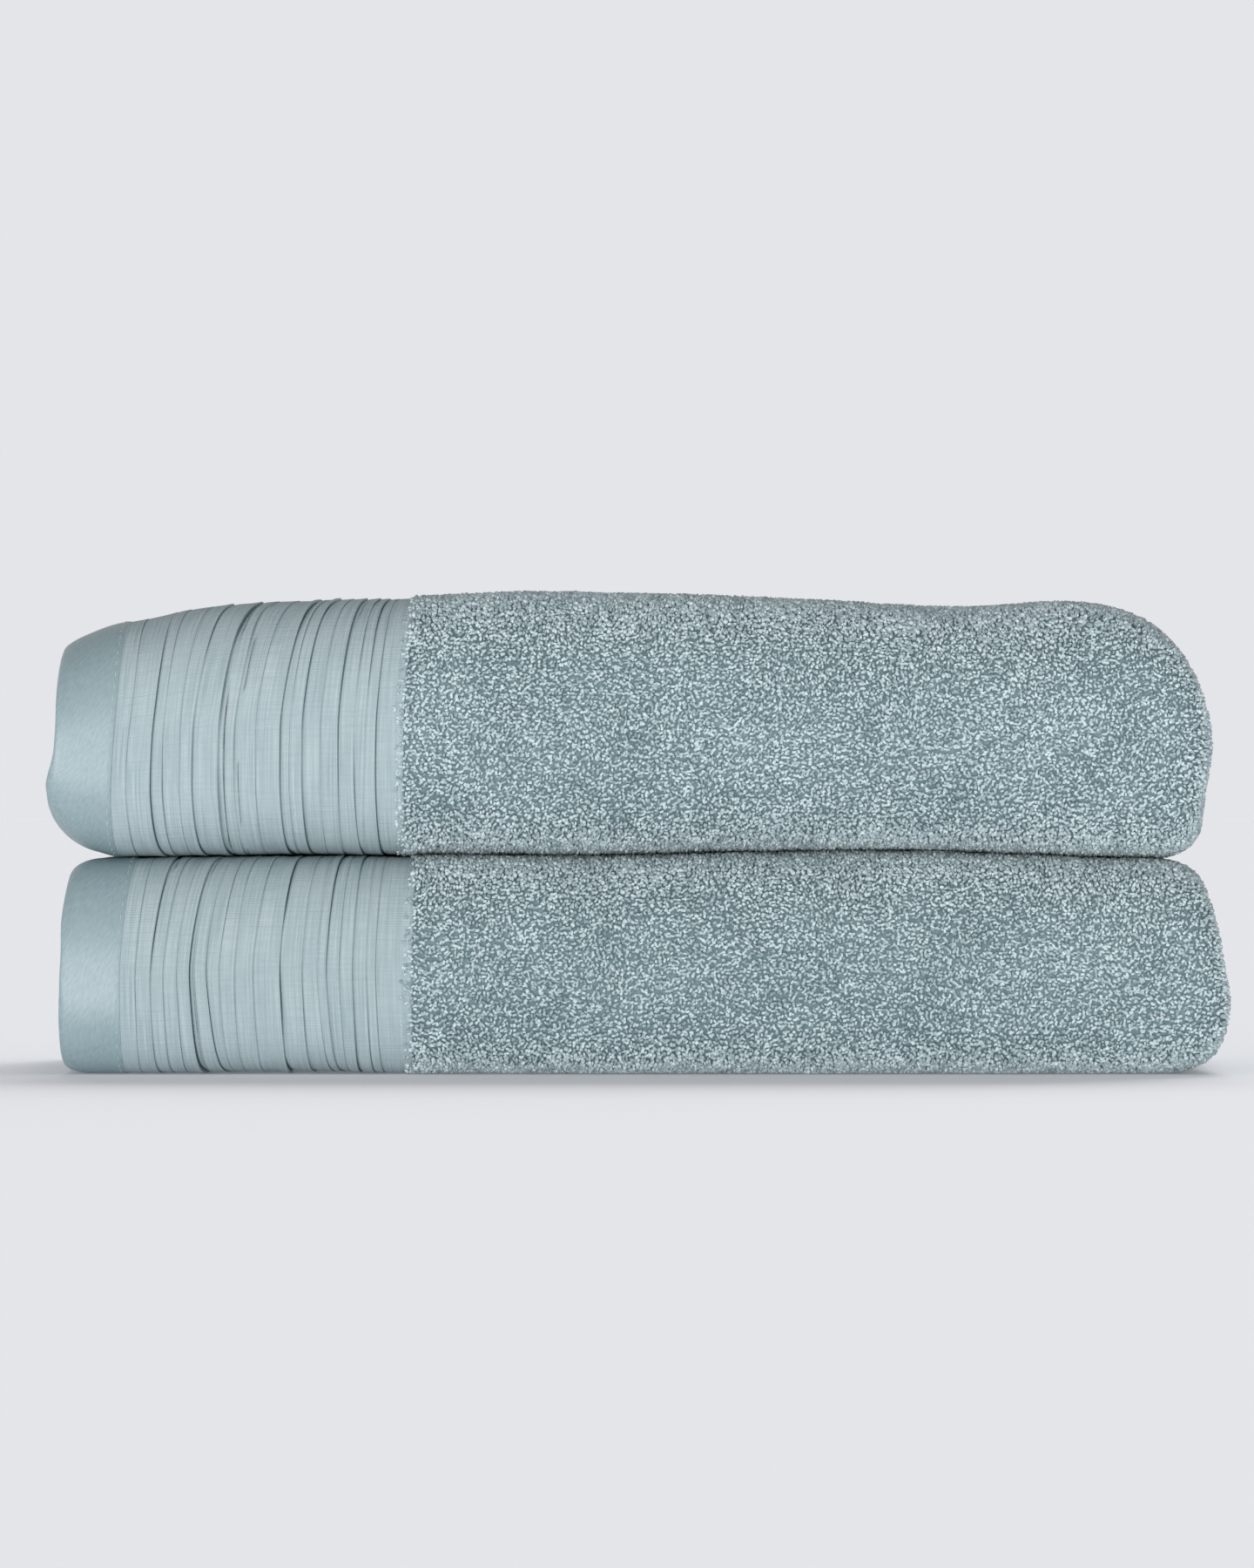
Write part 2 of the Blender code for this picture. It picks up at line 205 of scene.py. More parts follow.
LOWER_PLEATS = (
    (0.0225, 0.4, (0.15, 0.1, 0.1), 0), (0.0276, 0.9, (0.8, 0.45, 0.3), 0),
    (0.0312, 0.5, (0.2, 0.1, 0.15), 0), (0.0352, 0.4, (0.1, 0.1, 0.1), 0),
    (0.0394, 1.0, (0.5, 0.85, 0.9), 0.001), (0.0444, 0.9, (0.1, 0.25, 0.6), 0.003),
    (0.0485, 0.6, (0.2, 0.1, 0.1), 0.0015), (0.0532, 0.6, (0.1, 0.12, 0.1), 0),
    (0.0590, 0.4, (0.25, 0.1, 0.1), 0), (0.0669, 1.1, (1.0, 1.0, 1.0), 0),
    (0.0741, 0.8, (0.1, 0.12, 0.5), 0.001), (0.0785, 0.7, (0.0, 0.0, 0.2), 0.0035),
    (0.0815, 0.9, (0.6, 0.6, 0.3), 0.0035), (0.0853, 0.6, (0.2, 0.2, 0.1), 0.0020),
    (0.0894, 0.9, (0.7, 0.3, 0.4), 0.001), (0.0935, 0.7, (0.0, 0.0, 0.3), 0.0025),
    (0.0968, 0.5, (0.15, 0.1, 0.2), 0.0020),
)
INNER_PLEATS = tuple(
    (place, 1.0, (depth, depth, depth), 0.0) for place, depth in
    ((0.030, 0.8), (0.043, 0.8), (0.059, 0.9), (0.072, 0.8), (0.086, 0.9), (0.096, 0.7))
)

# Colours
TERRY_DARK = (150, 172, 177)
TERRY_LIGHT = (198, 216, 220)
TUFT_DARK = (107, 130, 136)
TUFT_LIGHT = (230, 243, 245)
# Painted shade for the pile, darkest at the loops' roots and on the ground cloth between them
TERRY_ROOT_SHADE = (100, 122, 129)
LINEN_DARK = (148, 166, 170)
LINEN_LIGHT = (179, 193, 197)
# Painted shade in the narrow gaps of the pleats
LINEN_FOLD_SHADE = (98, 118, 124)
SATIN_DARK = (128, 149, 154)
SATIN_LIGHT = (146, 166, 171)
THREAD_DARK = (150, 170, 175)
THREAD_LIGHT = (186, 203, 207)


# ---- where the folded cloth goes ----

def eased(share):
    share = np.clip(share, 0.0, 1.0)
    return share * share * (3 - 2 * share)


def curve_through(points, share):
    """The value at a share of a smooth curve through (place, value) points."""
    places, values = np.array(points, float).T
    slopes = np.gradient(values, places)
    share = np.clip(share, places[0], places[-1])
    at = np.clip(np.searchsorted(places, share, side="right") - 1, 0, len(places) - 2)
    gap = places[at + 1] - places[at]
    part = (share - places[at]) / gap
    back = 1 - part
    return (values[at] * (1 + 2 * part) * back**2 + slopes[at] * gap * part * back**2
            + values[at + 1] * part**2 * (3 - 2 * part) - slopes[at + 1] * gap * part**2 * back)


def drawn_in(end, up):
    """How far an end lies inside its furthest point, at a share of the stack's height."""
    peak, foot, head, inset = end
    below = np.clip((peak - up) / peak, 0.0, 1.0)
    above = np.clip((up - peak) / (1 - peak), 0.0, 1.0)
    return (inset + foot[0] * (1 - (1 - below**foot[1]) ** (1 / foot[1]))
            + head[0] * (1 - (1 - above**head[1]) ** (1 / head[1])))


def soft_waves(seed, count, shortest, longest):
    """A smooth random height over a line or plane, mostly from -1 to 1, made of a few waves."""
    dice = np.random.default_rng(seed)
    lengths = dice.uniform(shortest, longest, count)
    headings = dice.uniform(0, 2 * pi, count)
    phases = dice.uniform(0, 2 * pi, count)

    def height(a, b=0.0):
        total = 0.0
        for size, heading, phase in zip(lengths, headings, phases):
            along = a * cos(heading) + b * sin(heading)
            total = total + np.sin(2 * pi * along / size + phase)
        return total / sqrt(count * 2)

    return height


def square_turn(turn):
    """(x, level) of a unit loop at a turn. Its corners are squarer than a circle's."""
    power = 2 / LOOP_SQUARE
    return np.abs(np.sin(turn)) ** power, np.sign(np.cos(turn)) * np.abs(np.cos(turn)) ** power


def even_turns(stretch):
    """(share of the way round, turn) pairs for a loop that is this many times as long as high."""
    turns = np.linspace(0, pi, 721)
    x, level = square_turn(turns)
    way = np.concatenate([[0], np.cumsum(np.hypot(stretch * np.diff(x), np.diff(level)))])
    return way / way[-1], turns


def folded_towel(name, ply_air, slack, top_line, left_end, right_end, pinch, slides, seed):
    towel = SimpleNamespace(name=name, top_line=top_line, left_end=left_end, right_end=right_end)
    towel.pinch, towel.slides, towel.seed, towel.body = pinch, slides, seed, f"{name}_towel"
    towel.pitch = TERRY_THICKNESS + ply_air
    towel.stack = THIRDS * PLIES * towel.pitch - ply_air
    towel.seam_x = HEM_WIDTH + BORDER_WIDTH
    overhang = TOP_PANEL_OVERHANG * towel.pitch
    towel.back_arc = pi * PLIES / 2 * towel.pitch
    towel.front_arc = pi * PLIES * towel.pitch
    towel.panel = (TOWEL_WIDTH - towel.back_arc - towel.front_arc - overhang) / THIRDS
    towel.top_panel = towel.panel + overhang
    towel.loop = LOOP_STRETCH * towel.pitch
    half_turn = pi * hypot(towel.loop, towel.pitch) / sqrt(2)
    towel.outer_half, towel.small_half = 1.5 * half_turn, 0.5 * half_turn
    towel.loop_turns = even_turns(towel.loop / towel.pitch)
    towel.left_x = LEFT_LOOP_INSET + 0.5 * towel.loop + TERRY_THICKNESS / 2
    loops = towel.outer_half + 2 * towel.small_half
    towel.right_x = (TOWEL_LENGTH - slack - loops + 2 * towel.left_x) / PLIES
    towel.length = towel.right_x + 1.5 * towel.loop + TERRY_THICKNESS / 2
    inner = towel.right_x - towel.left_x
    stretches = (towel.right_x, towel.outer_half, inner, towel.small_half, inner,
                 towel.small_half, towel.right_x)
    towel.ends = np.append(0.0, np.cumsum(stretches))
    ways = (towel.panel, towel.back_arc, towel.panel, towel.front_arc, towel.top_panel)
    towel.turns = np.append(0.0, np.cumsum(ways))
    towel.x_step, towel.y_step, towel.under = 0.0, 0.0, None
    towel.waves = soft_waves(seed, 7, 0.05, 0.16)
    towel.end_waves = soft_waves(seed + 1, 5, 0.06, 0.2)
    return towel


def along(towel, s):
    """(x, level) a way s along the cloth, from the outer hem to the inner one."""
    ends, loop = towel.ends, towel.loop
    turn_1 = np.interp((s - ends[1]) / towel.outer_half, *towel.loop_turns)
    outer_x, outer_level = square_turn(turn_1)
    turn_2 = pi * (s - ends[3]) / towel.small_half
    turn_3 = pi * (s - ends[5]) / towel.small_half
    place = [s < ends[1], s < ends[2], s < ends[3], s < ends[4], s < ends[5], s < ends[6]]
    x = np.select(place, [
        s, towel.right_x + 1.5 * loop * outer_x, towel.right_x - (s - ends[2]),
        towel.left_x - 0.5 * loop * np.sin(turn_2), towel.left_x + (s - ends[4]),
        towel.right_x + 0.5 * loop * np.sin(turn_3)], towel.right_x - (s - ends[6]))
    level = np.select(place, [
        PLY_1 + 0 * s, 2 + 1.5 * outer_level, PLY_4 + 0 * s, 1 - 0.5 * np.cos(turn_2),
        PLY_3 + 0 * s, 2 - 0.5 * np.cos(turn_3)], PLY_2)
    return x, level


def way_over(towel, t):
    """The way across the parcel, 0 to 5, a distance t across the cloth."""
    return np.interp(t, towel.turns, np.arange(6.0))


def depth_of(towel, x, level):
    """How far out from the inside of the parcel a level lies."""
    beside_border = 1 - eased((x - towel.seam_x) / BORDER_PLY_EASE + 1)
    levels, moved = np.array(LEVELS_AT_BORDER).T
    return towel.pitch * (level + (np.interp(level, levels, moved) - level) * beside_border)


def squared(turn, radius):
    """A round fold's radius at a turn, swollen where its corners are squarer than a circle."""
    square = np.where(np.sin(turn) > 0, FOLD_HEAD_SQUARE, FOLD_FOOT_SQUARE)
    c, s = np.abs(np.cos(turn)) + 1e-9, np.abs(np.sin(turn)) + 1e-9
    return radius * (c**square + s**square) ** (-1 / square)


def across(towel, x, way, depth):
    """(y, z) of a ply a depth out from the inside, over the panels and round the two folds."""
    pitch, panel = towel.pitch, towel.panel
    front, back = -panel / 2, panel / 2
    swell = FOLD_SWELL * towel.waves(x, way * 0.06)
    back_turn = pi / 2 - pi * (way - 1)
    back_swell = swell * np.clip(np.sin(pi * (way - 1)), 0, 1)
    back_radius = squared(back_turn, depth) + back_swell * depth / (PLIES * pitch)
    front_turn = -pi / 2 - pi * (way - 3)
    front_swell = FRONT_SWELL_SHARE * swell * np.clip(np.sin(pi * (way - 3)), 0, 1)
    front_depth = depth + PLIES / 2 * pitch
    front_radius = squared(front_turn, front_depth) + front_swell * depth / (PLIES * pitch)
    place = [way <= 1, way <= 2, way <= 3, way <= 4]
    y = np.select(place, [
        front + way * panel, back + back_radius * np.cos(back_turn),
        back - (way - 2) * panel, front + front_radius * np.cos(front_turn)],
        front + (way - 4) * towel.top_panel)
    z = np.select(place, [
        PLIES * pitch + depth, PLIES * pitch + back_radius * np.sin(back_turn),
        PLIES * pitch - depth, 1.5 * PLIES * pitch + front_radius * np.sin(front_turn)],
        2 * PLIES * pitch + depth)
    return y, z


def top_of(towel, world_x):
    share = (world_x - towel.x_step) / towel.length
    return towel.stack * curve_through(towel.top_line, share)


def slid(towel, x, way):
    """x after the cloth has slid along the towel, at the crest and the foot of the front fold."""
    head, foot = towel.slides
    crest = np.clip((way - 3.5) / 0.5, 0, 1) ** 1.5 * (1 - eased((way - 4) / 0.7))
    heel = np.clip((3.5 - way) / 0.5, 0, 1) ** 1.5 * eased((way - 2.6) / 0.4)
    return x + curve_through(head, x) * crest + curve_through(foot, x) * heel


def settled(towel, x, y, z):
    """Where a point of the ideal parcel ends up, as an array of points."""
    up = (z - towel.pitch / 2) / ((THIRDS * PLIES - 1) * towel.pitch)
    inside = np.clip(up, 0.0, 1.0)
    left = 1 - eased(x / LEFT_RAMP)
    right = eased((x - towel.length + RIGHT_RAMP) / RIGHT_RAMP)
    moved = x + left * drawn_in(towel.left_end, inside) - right * drawn_in(towel.right_end, inside)
    wobble = RIGHT_END_WOBBLE * right + LEFT_END_WOBBLE * left
    moved = moved + wobble * towel.end_waves(y, z)
    world_x = moved + towel.x_step
    stack = towel.stack * curve_through(towel.top_line, moved / towel.length)
    low, sag = 0.0, 0.0
    if towel.under:
        low = top_of(towel.under, world_x) + TOWEL_GAP
        sag = BORDER_SAG * eased((x - SAG_FROM) / SAG_FALL) * eased((SAG_TO - x) / SAG_RISE)
    (foot_reach, rise), (head_reach, fall) = towel.pinch
    foot_end = 1 - np.sqrt(1 - np.clip(1 - x / foot_reach, 0.0, 1.0) ** 2)
    head_end = 1 - np.sqrt(1 - np.clip(1 - x / head_reach, 0.0, 1.0) ** 2)
    pinched = ((foot_end * rise - sag) * np.clip(1 - 2 * inside, 0, 1)
               - head_end * fall * np.clip(2 * inside - 1, 0, 1))
    middle_z = low + TERRY_THICKNESS / 2 + up * (stack - TERRY_THICKNESS) + pinched
    return np.stack([world_x, y + towel.y_step, middle_z], axis=-1)


def middle(towel, s, t):
    """The middle of the cloth's thickness at a way s along it and t across it."""
    x, level = along(towel, s)
    way = way_over(towel, t)
    y, z = across(towel, x, way, depth_of(towel, x, level))
    return settled(towel, slid(towel, x, way), y, z)


def unit(vectors):
    return vectors / np.maximum(np.linalg.norm(vectors, axis=-1, keepdims=True), 1e-12)


def cloth_frame(towel, s, t):
    """(points, directions along, directions across, normals on the right side) of the cloth."""
    step = 2e-4
    s_low, s_high = np.maximum(s - step, 0.0), np.minimum(s + step, towel.ends[-1])
    t_low, t_high = np.maximum(t - step, 0.0), np.minimum(t + step, TOWEL_WIDTH)
    run = unit(middle(towel, s_high, t) - middle(towel, s_low, t))
    over = unit(middle(towel, s, t_high) - middle(towel, s, t_low))
    return middle(towel, s, t), run, over, unit(np.cross(run, over))


def lifted(towel, s, t, lift):
    """Points a lift off the middle of the cloth, towards its right side where lift is positive."""
    point, _, _, normal = cloth_frame(towel, s, t)
    return point + normal * np.asarray(lift)[..., None]


# ---- meshes ----

def facing_out(points, faces):
    """The same faces, turned round if the closed mesh that they make is inside out."""
    corners = points[faces]
    spans = [np.cross(corners[:, k] - corners[:, 0], corners[:, k + 1] - corners[:, 0])
             for k in range(1, faces.shape[1] - 1)]
    volume = sum((span * corners[:, 0]).sum() for span in spans)
    return faces[:, ::-1] if volume < 0 else faces


def new_object(name, data):
    made = bpy.data.objects.new(name, data)
    bpy.context.scene.collection.objects.link(made)
    return made


def new_piece(towel, name, points, faces, material):
    """A mesh object from arrays of points and faces of one size, riding on its towel's body."""
    points = points.reshape(-1, 3).copy()
    points[:, :2] += origin_shift
    points[:, 2] = np.maximum(points[:, 2], FLOOR_CLEARANCE)
    mesh = bpy.data.meshes.new(f"{towel.body}_{name}")
    faces = facing_out(points, faces)
    corners = faces.shape[1]
    mesh.vertices.add(len(points))
    mesh.vertices.foreach_set("co", points.astype(np.float32).ravel())
    mesh.loops.add(faces.size)
    mesh.loops.foreach_set("vertex_index", faces.astype(np.int32).ravel())
    mesh.polygons.add(len(faces))
    mesh.polygons.foreach_set("loop_start", np.arange(0, faces.size, corners, dtype=np.int32))
    mesh.polygons.foreach_set("use_smooth", np.ones(len(faces), bool))
    mesh.update(calc_edges=True)
    mesh.materials.append(material)
    piece = new_object(mesh.name, mesh)
    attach(piece, towel.body)
    return piece


def set_map(piece, name, where):
    """A UV map from one (u, v) for each vertex."""
    mesh = piece.data
    index = np.empty(len(mesh.loops), np.int32)
    mesh.loops.foreach_get("vertex_index", index)
    layer = mesh.uv_layers.new(name=name)
    layer.data.foreach_set("uv", where.reshape(-1, 2)[index].astype(np.float32).ravel())


def set_numbers(piece, name, values):
    """One number for each vertex, which the piece's material reads."""
    attribute = piece.data.attributes.new(name, "FLOAT", "POINT")
    attribute.data.foreach_set("value", values.astype(np.float32))


def grid_faces(rows, columns, start=0, flip=False):
    """Quads over a grid of points that is stored row by row."""
    corner = (np.arange(rows - 1)[:, None] * columns + np.arange(columns - 1)).ravel() + start
    order = [corner, corner + 1, corner + columns + 1, corner + columns]
    return np.stack(order[::-1] if flip else order, axis=1)


def rim_faces(rows, columns, far):
    """Quads that join the edges of a grid to those of its copy, which starts at index far."""
    top = np.arange(columns)
    right = np.arange(rows) * columns + columns - 1
    bottom = np.arange(columns)[::-1] + (rows - 1) * columns
    left = np.arange(rows)[::-1] * columns
    ring = np.concatenate([top[:-1], right[:-1], bottom[:-1], left[:-1]])
    following = np.roll(ring, -1)
    return np.stack([following, ring, ring + far, following + far], axis=1)


def shell(towel, name, s, t, lift_high, lift_low, weave_u, material):
    """A closed sheet over a grid of (s, t), between two lifts off the middle of the cloth."""
    rows, columns = s.shape
    high = lifted(towel, s, t, lift_high)
    low = lifted(towel, s, t, lift_low)
    points = np.concatenate([high.reshape(-1, 3), low.reshape(-1, 3)])
    far = rows * columns
    faces = np.concatenate([grid_faces(rows, columns), grid_faces(rows, columns, far, flip=True),
                            rim_faces(rows, columns, far)])
    piece = new_piece(towel, name, points, faces, material)
    # The weave's map is in metres of cloth. It is shifted on the back, so that no thread repeats
    where = np.stack([weave_u, t], axis=-1).reshape(-1, 2)
    set_map(piece, "weave", np.concatenate([where, where + [0.003, 0.005]]))
    return piece


# ---- materials ----

def linear(colour):
    return tuple(((part / 255 + 0.055) / 1.055) ** 2.4 for part in colour) + (1.0,)


def feed(tree, socket, value):
    """Links a node's output to a socket, or sets a plain value on it."""
    if isinstance(value, bpy.types.NodeSocket):
        tree.links.new(value, socket)
    else:
        socket.default_value = value


def node(tree, kind, **inputs):
    made = tree.nodes.new(kind)
    for name, value in inputs.items():
        feed(tree, made.inputs[name.replace("_", " ")], value)
    return made


def mix(tree, factor, first, second):
    made = tree.nodes.new("ShaderNodeMix")
    made.data_type = "RGBA"
    # A Mix node has sockets for each kind of data. These are the ones for colour
    for number, value in ((0, factor), (6, first), (7, second)):
        feed(tree, made.inputs[number], value)
    return made.outputs[2]


def spread(tree, value, start=0.0, end=1.0, low=0.3, high=0.7):
    """Start to end as the value goes from low to high, which a noise mostly lies between."""
    made = node(tree, "ShaderNodeMapRange", Value=value, From_Min=low, From_Max=high,
                To_Min=start, To_Max=end)
    return made.outputs["Result"]


def noise(tree, vector, scale, detail=2.0, stretch=(1, 1, 1)):
    mapping = node(tree, "ShaderNodeMapping", Vector=vector, Scale=stretch)
    made = node(tree, "ShaderNodeTexNoise", Vector=mapping.outputs[0], Scale=scale, Detail=detail)
    return made.outputs["Fac"]


def cloth_material(name, roughness, sheen=0.0, specular=0.25):
    material = bpy.data.materials.new(name)
    material.use_nodes = True
    tree = material.node_tree
    shader = tree.nodes["Principled BSDF"]
    shader.inputs["Roughness"].default_value = roughness
    shader.inputs["Sheen Weight"].default_value = sheen
    shader.inputs["Sheen Roughness"].default_value = 0.45
    shader.inputs["Specular IOR Level"].default_value = specular
    return material, tree


def finished(material, colour, normal):
    links, shader = material.node_tree.links, material.node_tree.nodes["Principled BSDF"]
    links.new(colour, shader.inputs["Base Color"])
    links.new(normal, shader.inputs["Normal"])
    return material


def value_of(tree, attribute):
    made = tree.nodes.new("ShaderNodeAttribute")
    made.attribute_name = attribute
    return made.outputs["Fac"]


def place_of(tree, output):
    return tree.nodes.new("ShaderNodeTexCoord").outputs[output]


def weave_map(tree):
    made = tree.nodes.new("ShaderNodeUVMap")
    made.uv_map = "weave"
    return made.outputs[0]


def bumped(tree, height, strength, distance, **normal):
    made = node(tree, "ShaderNodeBump", Height=height, Strength=strength, Distance=distance,
                **normal)
    return made.outputs[0]


def terry_material(name, pile):
    """Cotton terry: mottled by the lie of the pile, with painted shade down between the loops, at
    their roots and on the ground cloth.
    """
    material, tree = cloth_material(name, 0.95, sheen=0.12)
    place = place_of(tree, "Object")
    patches = noise(tree, place, 38.0, 3.0)
    flecks = noise(tree, place, 700.0, 1.0)
    dark, light = linear(TERRY_DARK), linear(TERRY_LIGHT)
    colour = mix(tree, spread(tree, patches), dark, light)
    if pile:
        own = mix(tree, value_of(tree, "shade"), linear(TUFT_DARK), linear(TUFT_LIGHT))
        colour = mix(tree, 0.7, colour, own)
        colour = mix(tree, spread(tree, flecks, end=0.25), colour, light)
        # Painted shade: each loop darkens towards its root, where shade falls between the loops
        depth = spread(tree, value_of(tree, "tip"), low=0.0)
        colour = mix(tree, depth, linear(TERRY_ROOT_SHADE), colour)
    else:
        # The ground cloth between the loops is painted mostly in the pile's painted shade, with
        # flecks
        ground = mix(tree, spread(tree, flecks, start=0.75), colour, linear(TERRY_ROOT_SHADE))
        plain = mix(tree, spread(tree, flecks), linear(TUFT_DARK), light)
        colour = mix(tree, value_of(tree, "hem"), ground, plain)
    return finished(material, colour, bumped(tree, noise(tree, place, 1400.0), 0.5, 0.0004))


def thread_lines(tree, place, spacing, direction):
    """Parallel threads a spacing apart, in a weave's map."""
    bands = node(tree, "ShaderNodeTexWave", Vector=place, Scale=pi / 10 / spacing,
                 Distortion=1.2, Detail=2.0, Detail_Scale=0.4)
    bands.wave_type, bands.bands_direction = "BANDS", direction
    return bands.outputs["Fac"]


def linen_material():
    """A plain weave of crossed threads, with uneven thicker ones both ways, and painted shade in
    the gaps of its pleats.
    """
    material, tree = cloth_material("pleated_linen", 0.9)
    spacing, depth = 0.00055, 0.00012
    place = weave_map(tree)
    warp = noise(tree, place, 1.0, stretch=(0.9 / spacing, 55.0, 1.0))
    weft = noise(tree, place, 1.0, stretch=(70.0, 0.9 / spacing, 1.0))
    patches = noise(tree, place, 60.0, 3.0)
    dark, light = linear(LINEN_DARK), linear(LINEN_LIGHT)
    colour = mix(tree, spread(tree, warp), dark, light)
    colour = mix(tree, spread(tree, weft, end=0.5, low=0.35, high=0.75), colour, dark)
    colour = mix(tree, spread(tree, patches, end=0.3), colour, light)
    # Painted shade at the bottom of each pleat's gap
    colour = mix(tree, value_of(tree, "fold"), colour, linear(LINEN_FOLD_SHADE))
    crossed = node(tree, "ShaderNodeMath")
    crossed.operation = "ADD"
    tree.links.new(thread_lines(tree, place, spacing, "X"), crossed.inputs[0])
    tree.links.new(thread_lines(tree, place, spacing, "Y"), crossed.inputs[1])
    fine = bumped(tree, crossed.outputs[0], 0.5, depth)
    uneven = bumped(tree, warp, 0.7, depth * 1.5, Normal=fine)
    return finished(material, colour, bumped(tree, weft, 0.7, depth * 1.5, Normal=uneven))


def satin_material():
    """A close satin band: smooth, faintly grained on the slant, bright where it faces the light."""
    material, tree = cloth_material("satin_band", 0.46, specular=0.7)
    slanted = node(tree, "ShaderNodeMapping", Vector=weave_map(tree), Rotation=(0, 0, 0.6))
    place = slanted.outputs[0]
    grain = noise(tree, place, 1.0, stretch=(1600.0, 500.0, 1.0))
    patches = noise(tree, place, 50.0)
    colour = mix(tree, spread(tree, grain), linear(SATIN_DARK), linear(SATIN_LIGHT))
    colour = mix(tree, spread(tree, patches, end=0.3), colour, linear(SATIN_LIGHT))
    return finished(material, colour, bumped(tree, grain, 0.5, 0.00005))


def thread_material():
    material, tree = cloth_material("sewing_thread", 0.6, sheen=0.2)
    twist = noise(tree, place_of(tree, "Object"), 900.0, 1.0)
    colour = mix(tree, twist, linear(THREAD_DARK), linear(THREAD_LIGHT))
    return finished(material, colour, bumped(tree, twist, 0.4, 0.0001))


# ---- terry ----

def steps(start, end, size):
    count = max(2, round((end - start) / size) + 1)
    return np.linspace(start, end, count)


def join_steps(*runs):
    """One run of rising values out of several that meet end to end."""
    return np.unique(np.round(np.concatenate(runs), 7))


def rows_across(towel, fine, coarse):
    """Values of t that are close together where the cloth shows or bends."""
    turns, terry_edge = towel.turns, SIDE_HEM_WIDTH + SIDE_HEM_STEP
    return join_steps(
        [0.0, SIDE_HEM_WIDTH, terry_edge],
        steps(terry_edge, turns[1], coarse), steps(turns[1], turns[2], fine),
        steps(turns[2], turns[3], coarse), steps(turns[3], turns[4], fine),
        steps(turns[4], TOWEL_WIDTH - terry_edge, 1.5 * fine),
        [TOWEL_WIDTH - SIDE_HEM_WIDTH, TOWEL_WIDTH])


def side_hem(t):
    """1 on the turned hem along either side of the cloth, 0 between them."""
    edge = np.minimum(t, TOWEL_WIDTH - t)
    return (edge < SIDE_HEM_WIDTH + SIDE_HEM_STEP / 2).astype(float)


def make_terry(towel, material):
    """The ground cloth, with its side hems turned over."""
    # The outer ply, its loop, and then the hidden plies and their small loops by turns
    sizes = (0.0045, 0.0022, 0.011, 0.0013, 0.011, 0.0013, 0.006)
    stops = [towel.seam_x, *towel.ends[1:-1], towel.ends[-1] - towel.seam_x]
    s_values = join_steps(*(steps(*stretch) for stretch in zip(stops, stops[1:], sizes)))
    t_values = rows_across(towel, 0.0032, 0.008)
    s, t = np.meshgrid(s_values, t_values)
    half = TERRY_HALF + (SIDE_HEM_HALF - TERRY_HALF) * side_hem(t)
    piece = shell(towel, "terry_cloth", s, t, half, -half, s, material)
    set_numbers(piece, "hem", np.tile(side_hem(t).ravel(), 2))
    return piece


def pile_places(towel, dice, s_range, t_range, pitch):
    """Scattered rows of (s, t) over a stretch of cloth, equally close wherever it lies."""
    rows = np.arange(t_range[0], t_range[1], pitch * ROW_SHARE)
    line = np.linspace(*s_range, 320)
    path = middle(towel, *np.meshgrid(line, rows))
    ways = np.linalg.norm(np.diff(path, axis=1), axis=2).cumsum(axis=1)
    s, t = [], []
    for number, (row, way) in enumerate(zip(rows, ways)):
        places = np.arange(0.25 + 0.5 * (number % 2), way[-1] / pitch) * pitch
        places += dice.uniform(-TUFT_SCATTER, TUFT_SCATTER, len(places)) * pitch
        s.append(np.interp(places, np.append(0.0, way), line))
        t.append(row + dice.uniform(-TUFT_SCATTER, TUFT_SCATTER, len(places)) * pitch)
    return np.concatenate(s), np.clip(np.concatenate(t), *t_range)


